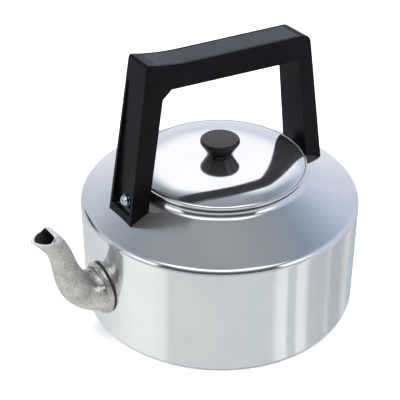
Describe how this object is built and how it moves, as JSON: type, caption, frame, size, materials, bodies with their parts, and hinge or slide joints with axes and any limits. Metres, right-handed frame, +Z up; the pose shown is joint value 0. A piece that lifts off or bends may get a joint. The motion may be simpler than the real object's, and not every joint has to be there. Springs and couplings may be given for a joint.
{
  "type": "stovetop kettle",
  "caption": "Wide polished aluminium stovetop kettle with a cast curved spout, a lift-off domed lid with a knob, and a fixed black moulded handle on riveted brackets.",
  "frame": {"origin": "centre of the base's underside", "axes": "+Z up, the spout points along -X, the handle stands in the XZ plane"},
  "size_m": [0.2743, 0.22, 0.224],
  "materials": {
    "polished_aluminium": "mirror polished sheet",
    "cast_aluminium": "tumbled casting with a fine grain",
    "plain_aluminium": "plain mill finish",
    "seal": "matt black",
    "knob_plastic": "glossy black phenolic moulding",
    "handle_plastic": "satin black phenolic moulding",
    "grip_plastic": "satin charcoal moulding with a fine texture",
    "zinc_hardware": "bright zinc plate",
    "brass_insert": "plain turned"
  },
  "bodies": {
    "kettle": {"kettle_body": "polished_aluminium", "spout": "cast_aluminium", "spout_gasket": "seal", "spout_ring": "cast_aluminium", "handle_frame": "handle_plastic", "grip_cover": "grip_plastic", "front_bracket": "plain_aluminium", "front_rivets": "plain_aluminium", "front_washer": "zinc_hardware", "front_screw": "zinc_hardware", "front_nut": "zinc_hardware", "rear_bracket": "plain_aluminium", "rear_rivets": "plain_aluminium", "rear_washer": "zinc_hardware", "rear_screw": "zinc_hardware", "rear_nut": "zinc_hardware"},
    "lid": {"lid_cover": "polished_aluminium", "lid_skirt": "polished_aluminium", "lid_knob": "knob_plastic", "knob_insert": "brass_insert", "knob_washer": "zinc_hardware", "knob_screw": "zinc_hardware"}
  },
  "joints": [
    {"name": "lid_lift", "type": "slide", "parent": "kettle", "child": "lid", "axis": [0, 0, 1], "range_m": [0, 0.02]}
  ]
}
